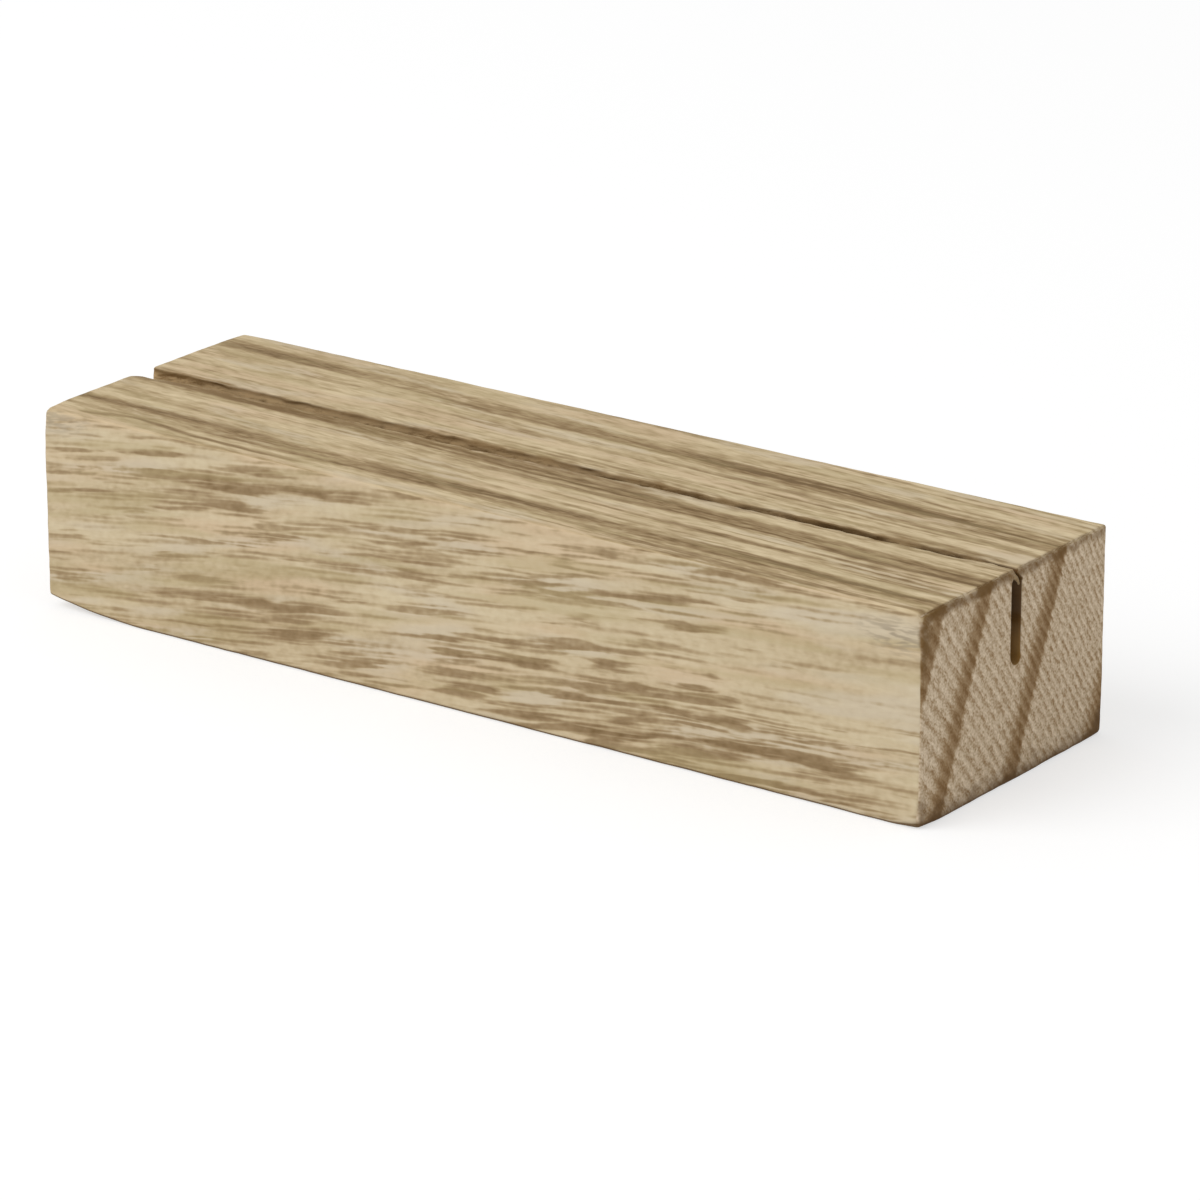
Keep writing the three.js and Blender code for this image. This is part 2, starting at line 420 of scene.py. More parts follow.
# Where a growth ring runs out on a face it shows as brown flames. Each is given by its two tips, as distances
# from the left end and from the top (or, on the top, from the back), then its half thickness, its depth of
# brown, and which end is blunt. Clear patches, grey smudges and the kerf's scorches are given in the same way.
EVEN = 1.0
BLUNT_RIGHT = 2.2
FRONT_FLAMES = (
    ((0, 4.2), (19, 1.0), 0.28, 0.80, EVEN),
    ((-1, 5.2), (12, 3.1), 0.22, 0.70, EVEN),
    ((-1, 6.7), (13, 3.6), 0.28, 0.85, EVEN),
    ((10, 4.0), (22, 2.9), 0.28, 0.80, EVEN),
    ((-1, 8.4), (14, 5.5), 0.28, 0.70, EVEN),
    ((7, 1.2), (13, 0.4), 0.50, 0.70, EVEN),
    ((15, 2.6), (30, 1.0), 0.70, 0.60, BLUNT_RIGHT),
    ((17, 3.3), (25, 2.9), 0.40, 0.65, EVEN),
    ((20, 4.0), (27, 3.3), 0.40, 0.60, EVEN),
    ((28.5, 2.9), (35.5, 1.6), 0.65, 0.95, EVEN),
    ((32, 2.5), (40, 1.8), 0.50, 0.85, EVEN),
    ((8, 8.4), (17, 6.4), 0.80, 0.55, EVEN),
    ((12, 7.4), (28, 4.6), 1.20, 0.65, BLUNT_RIGHT),
    ((25, 7.7), (33, 6.8), 0.35, 0.75, EVEN),
    ((0, 10.7), (14, 7.8), 0.25, 0.70, EVEN),
    ((14, 10.1), (29, 8.4), 0.30, 0.50, EVEN),
    ((0, 12.6), (5, 11.8), 0.50, 0.50, EVEN),
    ((11, 12.2), (18, 11.1), 0.45, 0.60, EVEN),
    ((42, 5.0), (52, 2.6), 0.60, 0.75, EVEN),
    ((40, 8.4), (48, 7.2), 0.50, 0.50, EVEN),
    ((33, 12.7), (39, 11.4), 0.40, 0.70, EVEN),
    ((37, 11.8), (52, 10.1), 0.35, 0.70, EVEN),
    ((39, 14.3), (54, 12.3), 0.45, 0.80, EVEN),
    ((21, 15.4), (35, 14.2), 1.30, 0.75, BLUNT_RIGHT),
    ((23, 17.8), (35, 15.9), 0.60, 0.70, EVEN),
    ((36, 17.9), (46, 16.2), 0.25, 0.75, EVEN),
    ((13, 18.9), (23, 17.6), 0.70, 0.70, BLUNT_RIGHT),
    ((0, 17.8), (8, 16.2), 0.90, 0.45, EVEN),
    ((36, 19.3), (44, 18.6), 0.50, 0.65, EVEN),
    ((44, 18.8), (56, 16.6), 0.70, 0.95, EVEN),
    ((46, 15.2), (57, 13.9), 0.90, 0.90, EVEN),
    ((49, 7.6), (64, 4.0), 0.75, 0.80, BLUNT_RIGHT),
    ((51, 3.4), (68, 2.1), 0.35, 0.65, EVEN),
    ((64, 1.5), (68, 1.1), 0.30, 0.80, EVEN),
    ((62, 6.5), (71, 5.5), 0.45, 0.65, EVEN),
    ((67, 5.2), (78, 3.6), 0.75, 0.85, EVEN),
    ((73, 6.6), (77, 5.6), 0.60, 0.70, EVEN),
    ((69, 8.2), (73, 8.0), 0.20, 0.80, EVEN),
    ((49, 12.9), (68, 10.3), 0.55, 0.90, EVEN),
    ((64, 12.0), (75, 9.8), 0.90, 0.95, EVEN),
    ((48, 14.6), (62, 12.7), 0.65, 0.95, EVEN),
    ((57, 14.9), (72, 14.1), 0.40, 0.80, EVEN),
    ((70, 12.7), (82, 11.0), 0.40, 0.70, EVEN),
    ((70, 14.3), (76, 14.5), 0.70, 0.85, EVEN),
    ((73, 15.7), (84, 13.4), 0.75, 1.00, EVEN),
    ((48, 16.2), (56, 15.0), 0.60, 0.90, EVEN),
    ((56, 16.1), (64, 15.2), 0.35, 0.85, EVEN),
    ((64, 17.8), (72, 15.6), 0.80, 1.00, BLUNT_RIGHT),
    ((58, 17.3), (65, 16.7), 0.25, 0.80, EVEN),
    ((52, 19.3), (62, 18.0), 0.60, 1.00, EVEN),
    ((60, 19.4), (72, 17.7), 0.85, 0.95, EVEN),
    ((81, 17.4), (97, 15.3), 0.90, 0.65, EVEN),
    ((74, 18.0), (86, 17.0), 0.45, 0.65, EVEN),
    ((68, 19.6), (90, 18.5), 0.60, 0.60, EVEN),
    ((80, 15.4), (95, 13.4), 0.70, 0.65, EVEN),
    ((73, 0.5), (101, 0.2), 0.30, 0.60, EVEN),
    ((42, 17.4), (94, 14.4), 4.2, 0.45, EVEN),
    ((8, 5.8), (38, 3.4), 3.0, 0.35, EVEN),
    ((15, 17.2), (39, 15.4), 3.0, 0.40, EVEN),
    ((46, 6.6), (80, 4.2), 2.4, 0.35, EVEN),
)
FRONT_CLEAR = (
    ((78, 9.5), (108, 6.5), 5.0, 0.9, EVEN),
    ((90, 15.6), (114, 14.4), 3.0, 0.4, EVEN),
    ((-3, 10.6), (11, 8.9), 1.4, 0.8, EVEN),
    ((3, 14.7), (14, 13.0), 1.0, 0.7, EVEN),
    ((34, 15.4), (48, 13.6), 1.0, 0.7, EVEN),
    ((60, 12.8), (66, 11.7), 0.6, 0.9, EVEN),
    ((64, 8.0), (75, 6.8), 1.1, 0.9, EVEN),
)
FRONT_SMUDGES = (
    ((93, 2.2), (102, 2.8), 1.6, 1.0, EVEN),
    ((-6, 1.4), (7, 0.8), 1.3, 0.8, EVEN),
)
TOP_FLAMES = (
    ((1, 29.2), (11, 26.8), 0.40, 0.95, EVEN),
    ((7, 26.8), (18, 28.4), 0.40, 1.05, EVEN),
    ((14, 28.3), (33, 28.5), 0.50, 0.85, EVEN),
    ((-3, 16.2), (56, 17.0), 2.40, 0.42, EVEN),
    ((67, 22.8), (85, 23.2), 0.35, 0.6, EVEN),
    ((76, 20.3), (99, 21.8), 0.35, 0.7, EVEN),
    ((82, 21.5), (99, 22.6), 0.40, 0.8, EVEN),
    ((83, 22.5), (98, 23.5), 0.35, 0.8, EVEN),
    ((51, 10.1), (65, 9.3), 0.40, 0.5, EVEN),
    ((68, 10.6), (79, 10.9), 0.40, 0.5, EVEN),
)
TOP_CLEAR = (
    ((-6, 10.8), (38, 10.5), 2.6, 0.8, EVEN),
    ((-6, 19.9), (40, 21.4), 1.9, 0.6, EVEN),
    ((58, 16.6), (106, 17.5), 0.55, 1.0, EVEN),
    ((90, 26.0), (103, 26.6), 0.50, 0.8, EVEN),
    ((48, 2.3), (92, 4.3), 0.60, 0.7, EVEN),
)
KERF_SCORCHES = (
    ((-8, 0.4), (9, 0.4), 0.6, 0.7, EVEN),
    ((22, 0.8), (52, 0.8), 1.5, 0.35, EVEN),
    ((57, 0.8), (69, 0.8), 2.0, 0.7, EVEN),
    ((71, 0.8), (87, 0.8), 2.0, 1.0, EVEN),
)
TIP_THICKNESS = 0.5
FLAME_WAVER = 0.25
FLAME_COMB = 2.6
FLAME_EDGES = (4.0, 1.1, 7.7)
FLAME_TEETH = (40.0, 0.7, 3.3)
FACE_DEPTH = 0.3


def lens_share(lenses, along, down):
    """How far each point lies inside one of the lenses, from 0 to 1."""
    share = np.zeros_like(along)
    for (start, start_depth), (stop, stop_depth), half_thickness, strength, bluntness in lenses:
        run = np.clip((along - start) / (stop - start), 0.0, 1.0)
        middle = start_depth + (stop_depth - start_depth) * run
        girth = np.clip(np.sin(np.pi * run ** bluntness), 0.0, 1.0)
        thickness = half_thickness * (TIP_THICKNESS + (1.0 - TIP_THICKNESS) * girth)
        share = np.maximum(share, strength * np.sqrt(girth) * near(down - middle, thickness))
    return share


from_top = TOP - z
from_back = BACK - y
waver = FLAME_WAVER * wander(points, *FLAME_EDGES)
combed = from_left + FLAME_COMB * wander(points, *FLAME_TEETH)
front_flames = lens_share(FRONT_FLAMES, combed, from_top + waver)
front_figure = front_flames - lens_share(FRONT_CLEAR, combed, from_top)
top_flames = lens_share(TOP_FLAMES, from_left, from_back + waver)
top_figure = top_flames - lens_share(TOP_CLEAR, from_left, from_back)
underside_figure = -lens_share(TOP_CLEAR, RIGHT - x, y - FRONT)
figure = np.select(
    [in_kerf, from_top < FACE_DEPTH, z < UNDERSIDE + FACE_DEPTH, y < 0],
    [lens_share(KERF_SCORCHES, from_left, from_top), top_figure, underside_figure, front_figure],
    front_flames,
)
smudge = np.where(y < FRONT + FACE_DEPTH, lens_share(FRONT_SMUDGES, from_left, from_top), 0.0)

# The right end's edges are broken out and have taken up dirt: along the top, and down the front edge, most in
# its upper half. The end is darker towards both lower corners, the back one most. Along its foot, a thin line
# and a wider band of painted shade stand for the floor's shadow. The left end is worn a little all over.
EDGE_MARK_PATCHES = (2.0, 1.3, 6.6)
EDGE_MARK_REACH = 0.38
EDGE_MARK_RAGGED = 0.6
HIGH_FROM = 12.0
HIGH_TO = 18.0
LOW_FROM = 6.0
FORWARD_LENGTH = 20.0
TOP_WEAR = 0.70
TOP_WEAR_FORWARD = 0.28
TOP_WEAR_BELOW = 0.5
TOP_WEAR_RAGGED = 0.35
TOP_WEAR_REACH = 0.75
FRONT_WEAR = 0.30
FRONT_EDGE_REACH = 0.5
HIGH_WEAR = 0.70
HIGH_WEAR_REACH = 1.2
# The end grows darker towards both lower corners, the back one most.
LOW_FRONT_DARKENING = 0.95
LOW_FRONT_REACH = 1.6
LOW_BACK_DARKENING = 1.25
BACK_DARKENING_REACH = 0.4
LOW_BACK_REACH = 1.7
# Painted shade: a thin dark line and a wider, fainter band along the end's foot, where it meets the floor.
FOOT_LINE_SHADE = 0.98
FOOT_LINE_SHADE_REACH = 1.3
FOOT_SHADE = 0.62
FOOT_SHADE_REACH = 3.0
LEFT_WEAR = 0.4

high_up = ramp(z, HIGH_FROM, HIGH_TO)
low_down = ramp(z, LOW_FROM, UNDERSIDE)
forward = ramp(y, BACK, BACK - FORWARD_LENGTH)
ragged = wander(points, *EDGE_MARK_PATCHES)
below_edge = from_top - TOP_WEAR_BELOW + TOP_WEAR_RAGGED * ragged
from_front = y - FRONT
from_foot = z - UNDERSIDE
end_wear_and_shade = near(RIGHT - x, EDGE_MARK_REACH * (1.0 + EDGE_MARK_RAGGED * ragged)) * np.maximum.reduce([
    (TOP_WEAR + TOP_WEAR_FORWARD * forward) * near(below_edge, TOP_WEAR_REACH),
    (FRONT_WEAR + HIGH_WEAR * high_up) * near(from_front, FRONT_EDGE_REACH + HIGH_WEAR_REACH * high_up),
    LOW_FRONT_DARKENING * low_down * near(from_front, FRONT_EDGE_REACH + LOW_FRONT_REACH * low_down),
    LOW_BACK_DARKENING * low_down * near(from_back, BACK_DARKENING_REACH + LOW_BACK_REACH * low_down),
    FOOT_LINE_SHADE * near(from_foot, FOOT_LINE_SHADE_REACH),
    FOOT_SHADE * near(from_foot, FOOT_SHADE_REACH),
])
wear_and_shade = np.maximum(end_wear_and_shade, LEFT_WEAR * near(from_left, EDGE_MARK_REACH))

# The block's mesh: the shaped grid, sunk here and there by a few hundredths of a millimetre, so that the grain
# stands up in between. It carries the measures above, point by point, for the timber to read.
RAISED_GRAIN = 0.035
GRAIN_RIDGES = (7.0, 0.9, 5.3)

block_mesh = bpy.data.meshes.new("slotted_block_timber")
block_mesh.from_pydata((points * MM).tolist(), [], faces.tolist())
for polygon in block_mesh.polygons:
    polygon.use_smooth = True
outward = np.array([normal.vector for normal in block_mesh.vertex_normals])
sunk = RAISED_GRAIN * (0.5 + 0.5 * wander(grain, *GRAIN_RIDGES))
block_mesh.vertices.foreach_set("co", ((points - outward * sunk[:, None]) * MM).ravel())
block_mesh.update()


def paint(name, kind, field, values):
    """Keeps a measure of every point on the block's mesh, for the timber to read."""
    layer = block_mesh.attributes.new(name, kind, "POINT")
    layer.data.foreach_set(field, np.ascontiguousarray(values, dtype=np.float32).ravel())


paint("grain", "FLOAT_VECTOR", "vector", grain)
paint("sheet", "FLOAT_VECTOR", "vector", sheet)
for name, values in (
    ("ring", ring),
    ("rows", rows),
    ("figure", figure),
    ("smudge", smudge),
    ("wear_and_shade", wear_and_shade),
    ("kerf_depth", kerf_depth),
    ("lip_stain", lip_stain),
):
    paint(name, "FLOAT", "value", values)

# The timber: bare, sanded, matt wood. Its lines, flames and growth bands add up to one tone from pale to dark,
# which a row of colours turns into the wood's own; the long sides, the top and the ends have a row each.
timber = bpy.data.materials.new("pale_open_timber")
timber.use_nodes = True
timber_nodes = timber.node_tree.nodes
timber_shader = timber_nodes["Principled BSDF"]


def measure(name, output="Fac"):
    """A number or vector painted on the mesh."""
    node = timber_nodes.new("ShaderNodeAttribute")
    node.attribute_name = name
    return node.outputs[output]


def axes_of(vector):
    """A vector's three numbers, by the names of its axes."""
    node = timber_nodes.new("ShaderNodeSeparateXYZ")
    feed(node.inputs[0], vector)
    return node.outputs


def reckon(operation, *values):
    """A sum, product or other simple reckoning of numbers."""
    node = timber_nodes.new("ShaderNodeMath")
    node.operation = operation
    for socket, value in zip(node.inputs, values):
        feed(socket, value)
    return node.outputs[0]


def product(*shares):
    """All the shares multiplied together."""
    result = shares[0]
    for share in shares[1:]:
        result = reckon("MULTIPLY", result, share)
    return result


def without(share):
    """What a share leaves of the whole."""
    return reckon("SUBTRACT", 1.0, share)


def plus(value, share, amount):
    """A number with an amount added to it, by share."""
    return reckon("MULTIPLY_ADD", share, amount, value)


def sway(value, mottling, amount):
    """A number pushed up and down by noise, by at most half the amount each way."""
    return plus(value, reckon("SUBTRACT", mottling, 0.5), amount)


def rise(value, start, end):
    """A soft step from 0 at the start to 1 at the end, whichever of the two is the larger."""
    node = timber_nodes.new("ShaderNodeMapRange")
    node.interpolation_type = "SMOOTHSTEP"
    feed(node.inputs["Value"], value)
    feed(node.inputs["From Min"], start)
    feed(node.inputs["From Max"], end)
    return node.outputs["Result"]


def reckon_vector(operation, *values):
    """A sum, product or other simple reckoning of vectors."""
    node = timber_nodes.new("ShaderNodeVectorMath")
    node.operation = operation
    for socket, value in zip(node.inputs, values):
        feed(socket, value)
    return node.outputs["Vector"]


def noise_in(place, size, detail=1.0, roughness=0.5):
    """A node of noise around a half, in patches of the given size along each axis of the place."""
    node = timber_nodes.new("ShaderNodeTexNoise")
    feed(node.inputs["Vector"], reckon_vector("DIVIDE", place, size))
    feed(node.inputs["Scale"], 1.0)
    feed(node.inputs["Detail"], detail)
    feed(node.inputs["Roughness"], roughness)
    return node


def mottle(place, size, detail=1.0, roughness=0.5):
    """A number that varies in patches of the given size."""
    return noise_in(place, size, detail, roughness).outputs["Fac"]


def wavy(place, size, amount):
    """A place pushed about by noise, so that what is laid out on it wavers."""
    push = reckon_vector("SUBTRACT", noise_in(place, size).outputs["Color"], (0.5, 0.5, 0.5))
    return reckon_vector("MULTIPLY_ADD", push, amount, place)


def lay(ground, over, *shares):
    """A colour laid over another, by the product of the shares."""
    node = timber_nodes.new("ShaderNodeMix")
    node.data_type = "RGBA"
    feed(node.inputs[0], product(*shares))
    feed(node.inputs[6], ground)
    feed(node.inputs[7], over)
    return node.outputs[2]


def between(share, first, second):
    """A number between two, by share."""
    node = timber_nodes.new("ShaderNodeMix")
    feed(node.inputs[0], share)
    feed(node.inputs[2], first)
    feed(node.inputs[3], second)
    return node.outputs[0]


def colour(red, green, blue):
    """A colour read from a screen, as the linear values that a shader takes."""
    def linear(level):
        share = level / 255.0
        return share / 12.92 if share <= 0.04045 else ((share + 0.055) / 1.055) ** 2.4
    return (linear(red), linear(green), linear(blue), 1.0)


def shade(tone, colours):
    """The colour at a tone from 0 to 1 along a row of colours, each given with its tone."""
    node = timber_nodes.new("ShaderNodeValToRGB")
    row = node.color_ramp.elements
    row.remove(row[1])
    row[0].position, row[0].color = colours[0]
    for position, stop in colours[1:]:
        row.new(position).color = stop
    feed(node.inputs["Fac"], tone)
    return node.outputs["Color"]


# Which way the surface faces, and where on the block it is. A pair is where a change starts and where it ends.
END_FACING = (0.30, 0.55)
END_UPTURN = -0.6
SIDE_FACING = (0.55, 0.9)
TOP_FACING = (0.5, 0.9)
RIGHTWARD = (-25.0, 30.0)
INTO_KERF = (0.0, 0.3)

grain_place = measure("grain", "Vector")
sheet_place = measure("sheet", "Vector")
ring_here = measure("ring")
figure_share = measure("figure")
kerf_depth_here = measure("kerf_depth")
along_grain = axes_of(grain_place)
facing = axes_of(timber_nodes.new("ShaderNodeTexCoord").outputs["Normal"])
facing_up = reckon("MAXIMUM", facing["Z"], 0.0)
facing_along = reckon("ABSOLUTE", facing["X"])
on_end = rise(plus(facing_along, facing_up, END_UPTURN), *END_FACING)
in_kerf_share = rise(kerf_depth_here, *INTO_KERF)
on_side = product(rise(reckon("ABSOLUTE", facing["Y"]), *SIDE_FACING), without(in_kerf_share))
towards_right = rise(along_grain["X"], *RIGHTWARD)

# The lines along the grain: streaks everywhere, and tapered strokes on the long sides, both browner and closer
# in the flames. Patches are given by their length, width and height. A pair that between() takes is a value on
# the top and on a side, or one at the left and at the right.
GRAIN_WAVES = (6.0, 2.4, 2.4)
GRAIN_SWING = (2.5, 0.42, 0.42)
SHEET_WAVES = (11.0, 1.4, 5.0)
SHEET_SWING = (3.0, 0.45, 0.5)
SIDE_STREAKS = (9.0, 0.68, 0.68)
SHEET_STREAKS = (28.0, 0.75, 8.0)
STREAK_DETAIL = 1.5
FLAME_FILL = (0.15, 0.22)
LINE_START = (0.42, 0.52)
LINE_FULL = (0.70, 0.71)
THIN_STROKES = (16.0, 0.72, 0.40, 0.10)
LONG_STROKES = (26.0, 1.05, 0.34, 0.25)
LONG_STROKE_DEPTH = 0.9
STROKE_CORE = 0.04
STROKE_SKEW = 1.7
STROKES_IN_FLAMES = 0.55
STROKE_CHOICE = 0.2
STROKE_CLEAR_TO_FLAME = (-0.45, 0.25)
STROKE_DEPTH = (0.55, 1.0)


def strokes(place, length, thickness, edge, scarcity):
    """Tapered strokes over a long side, one to a cell of the given size, with more of them in the flames."""
    axes = axes_of(place)
    cell = timber_nodes.new("ShaderNodeCombineXYZ")
    feed(cell.inputs["X"], reckon("DIVIDE", plus(axes["X"], axes["Y"], STROKE_SKEW), length))
    feed(cell.inputs["Y"], reckon("DIVIDE", axes["Z"], thickness))
    node = timber_nodes.new("ShaderNodeTexVoronoi")
    node.voronoi_dimensions = "2D"
    feed(node.inputs["Vector"], cell.outputs[0])
    feed(node.inputs["Scale"], 1.0)
    own_number = axes_of(node.outputs["Color"])["X"]
    wanted = plus(own_number, figure_share, STROKES_IN_FLAMES)
    tapered = rise(node.outputs["Distance"], edge, STROKE_CORE)
    return product(tapered, rise(wanted, scarcity, scarcity + STROKE_CHOICE))


wavy_grain = wavy(grain_place, GRAIN_WAVES, GRAIN_SWING)
wavy_sheet = wavy(sheet_place, SHEET_WAVES, SHEET_SWING)
side_streak = mottle(wavy_grain, SIDE_STREAKS, STREAK_DETAIL)
sheet_streak = mottle(wavy_sheet, SHEET_STREAKS, STREAK_DETAIL)
streak = between(on_side, sheet_streak, side_streak)
filled = plus(streak, figure_share, between(on_side, *FLAME_FILL))
streak_line = rise(filled, between(on_side, *LINE_START), between(on_side, *LINE_FULL))
long_strokes = product(strokes(wavy_grain, *LONG_STROKES), LONG_STROKE_DEPTH)
side_strokes = reckon("MAXIMUM", strokes(wavy_grain, *THIN_STROKES), long_strokes)
stroke_depth = between(rise(figure_share, *STROKE_CLEAR_TO_FLAME), *STROKE_DEPTH)
line = reckon("MAXIMUM", streak_line, product(side_strokes, stroke_depth, on_side))

# The growth bands: the brown late wood of four rings, which runs along the top as stripes and goes down the
# ends. A band is firm at the back and fades out towards the front.
RING_EDGES = (-10.0, -2.0, 10.55, 25.0)
LATE_WOOD_FADE = (3.7, 0.8)
BROAD_STREAKS = (26.0, 1.8, 1.8)
RING_BROAD_SWAY = 1.3
RING_STREAK_SWAY = 0.9
RING_SOFTNESS = 0.5


def late_wood(place, softness):
    """The brown part of each growth ring: a firm edge at the back, fading out forwards."""
    share = 0.0
    for ring_edge in RING_EDGES:
        inside = reckon("SUBTRACT", ring_edge, place)
        band = product(rise(inside, -softness, softness), rise(inside, *LATE_WOOD_FADE))
        share = reckon("MAXIMUM", share, band)
    return share


broad = mottle(grain_place, BROAD_STREAKS)
ring_place = sway(sway(ring_here, broad, RING_BROAD_SWAY), streak, RING_STREAK_SWAY)
ring_share = product(late_wood(ring_place, RING_SOFTNESS), without(on_side))

# The long sides and the top: the tone of their lines, flames and bands, swayed by fibres and flecks, and their
# colours, with faint patches of blush, olive and ashen wood and grey smudges from handling.
FIBRES = (1.6, 0.30, 0.30)
TOP_FLECKS = (2.4, 0.55, 2.4)
TOP_FLECK_DETAIL = 2.0
SIDE_FLECKS = (1.0, 0.65, 0.65)
TOP_LINE_DEPTH = (0.22, 0.46)
SIDE_LINE_DEPTH = (0.42, 0.54)
FLAME_LINE_DEPTH = (0.46, 0.54)
FLAME_SHOWS = (0.10, 0.65)
FLAME_DEPTH = (0.10, 0.05)
HEART_SHOWS = (0.75, 1.1)
HEART_DEPTH = (0.30, 0.18)
BAND_DEPTH = (0.37, 0.50)
TOP_GROUND = (0.23, 0.17)
SIDE_GROUND = 0.16
BROAD_SWAY = 0.6
TOP_FIBRE_SWAY = 0.35
BAND_FIBRE_SWAY = 0.6
SIDE_FIBRE_SWAY = 0.18
LEFT_FLECK_SWAY = 0.65
RIGHT_FLECK_SWAY = 0.85
BAND_FLECK_SWAY = 0.8
SIDE_FLECK_SWAY = 0.45
SIDE_COLOURS = (
    (0.0, colour(208, 192, 160)),
    (0.2, colour(198, 180, 147)),
    (0.45, colour(174, 153, 119)),
    (0.7, colour(149, 126, 93)),
    (1.0, colour(116, 92, 58)),
)
TOP_COLOURS = (
    (0.0, colour(217, 198, 161)),
    (0.2, colour(203, 183, 146)),
    (0.45, colour(176, 154, 116)),
    (0.7, colour(150, 126, 90)),
    (1.0, colour(114, 90, 55)),
)
PALE_TONES = (0.60, 0.20)
BLUSH = colour(208, 180, 148)
BLUSH_PATCHES = (20.0, 3.0, 3.0)
BLUSH_SHOWS = (0.48, 0.68)
BLUSH_DEPTH = (0.4, 0.42)
OLIVE = colour(172, 156, 112)
OLIVE_PATCHES = (17.0, 1.5, 1.5)
OLIVE_SHOWS = (0.50, 0.70)
OLIVE_DEPTH = (0.25, 0.35)
ASHEN = colour(203, 190, 168)
ASHEN_PATCHES = (14.0, 2.2, 2.2)
ASHEN_SHOWS = (0.50, 0.70)
ASHEN_DEPTH = (0.35, 0.55)
SMUDGE_GREY = colour(150, 136, 116)
SMUDGE_SHOWS = (0.40, 0.62)
SMUDGE_DEPTH = 0.7

flame = rise(figure_share, *FLAME_SHOWS)
top_line_depth = between(towards_right, *TOP_LINE_DEPTH)
side_line_depth = between(towards_right, *SIDE_LINE_DEPTH)
line_depth = between(on_side, top_line_depth, side_line_depth)
line_depth = between(flame, line_depth, between(towards_right, *FLAME_LINE_DEPTH))
ground = between(on_side, between(towards_right, *TOP_GROUND), SIDE_GROUND)
flame_heart = product(rise(figure_share, *HEART_SHOWS), between(on_side, 1.0, line))
tone = plus(ground, line, line_depth)
tone = plus(tone, flame, between(on_side, *FLAME_DEPTH))
tone = plus(tone, flame_heart, between(on_side, *HEART_DEPTH))
tone = plus(tone, ring_share, between(towards_right, *BAND_DEPTH))
tone = sway(tone, broad, BROAD_SWAY)

fibre = mottle(wavy_grain, FIBRES)
top_fibre_sway = between(ring_share, TOP_FIBRE_SWAY, BAND_FIBRE_SWAY)
tone = sway(tone, fibre, between(on_side, top_fibre_sway, SIDE_FIBRE_SWAY))
top_fleck = mottle(sheet_place, TOP_FLECKS, TOP_FLECK_DETAIL)
side_fleck = mottle(grain_place, SIDE_FLECKS)
right_fleck_sway = between(ring_share, RIGHT_FLECK_SWAY, BAND_FLECK_SWAY)
top_fleck_sway = between(towards_right, LEFT_FLECK_SWAY, right_fleck_sway)
fleck_sway = between(on_side, top_fleck_sway, SIDE_FLECK_SWAY)
tone = sway(tone, between(on_side, top_fleck, side_fleck), fleck_sway)

on_top = rise(facing["Z"], *TOP_FACING)
pale_wood = rise(tone, *PALE_TONES)
blush = rise(mottle(grain_place, BLUSH_PATCHES), *BLUSH_SHOWS)
olive = rise(mottle(wavy_grain, OLIVE_PATCHES), *OLIVE_SHOWS)
ashen = rise(mottle(wavy_grain, ASHEN_PATCHES), *ASHEN_SHOWS)
smudged = product(measure("smudge"), rise(fibre, *SMUDGE_SHOWS))
long_colour = lay(shade(tone, SIDE_COLOURS), shade(tone, TOP_COLOURS), on_top)
long_colour = lay(long_colour, BLUSH, blush, pale_wood, between(on_side, *BLUSH_DEPTH))
long_colour = lay(long_colour, OLIVE, olive, between(on_side, *OLIVE_DEPTH))
long_colour = lay(long_colour, ASHEN, ashen, pale_wood, between(on_side, *ASHEN_DEPTH))
long_colour = lay(long_colour, SMUDGE_GREY, smudged, SMUDGE_DEPTH)

# The end grain: slanting rows of cells with pores between them, crossed by the growth bands. A pair is a value
# between the bands and on one.
CELLS_SLANT = math.radians(-50.0)
END_CELLS = (9.0, 0.85, 0.28)
END_CELL_DETAIL = 2.0
END_PORES = (9.0, 0.22, 0.18)
END_PORE_DETAIL = 0.0
ROW_SWAY = 3.8
ROW_DEPTH = -0.26
CELL_SWAY = (-0.8, -0.4)
PORE_SWAY = (-0.6, -0.3)
END_GROUND = 0.50
END_RING_SWAY = 0.45
END_RING_SOFTNESS = 0.40
END_BAND_DEPTH = 0.48
END_COLOURS = (
    (0.0, colour(230, 211, 184)),
    (0.35, colour(201, 180, 151)),
    (0.65, colour(161, 134, 99)),
    (1.0, colour(124, 93, 55)),
)

cells_place = timber_nodes.new("ShaderNodeMapping")
cells_place.vector_type = "TEXTURE"
feed(cells_place.inputs["Vector"], grain_place)
feed(cells_place.inputs["Rotation"], (CELLS_SLANT, 0.0, 0.0))
cells = mottle(cells_place.outputs["Vector"], END_CELLS, END_CELL_DETAIL)
pores = mottle(cells_place.outputs["Vector"], END_PORES, END_PORE_DETAIL)
row_turn = sway(reckon("MULTIPLY", measure("rows"), 2.0 * math.pi), cells, ROW_SWAY)
row_crest = plus(0.5, reckon("SINE", row_turn), 0.5)
end_band = late_wood(sway(ring_here, cells, END_RING_SWAY), END_RING_SOFTNESS)
end_tone = plus(END_GROUND, row_crest, ROW_DEPTH)
end_tone = sway(end_tone, cells, between(end_band, *CELL_SWAY))
end_tone = sway(end_tone, pores, between(end_band, *PORE_SWAY))
end_tone = plus(end_tone, end_band, END_BAND_DEPTH)
wood_colour = lay(long_colour, shade(end_tone, END_COLOURS), on_end)
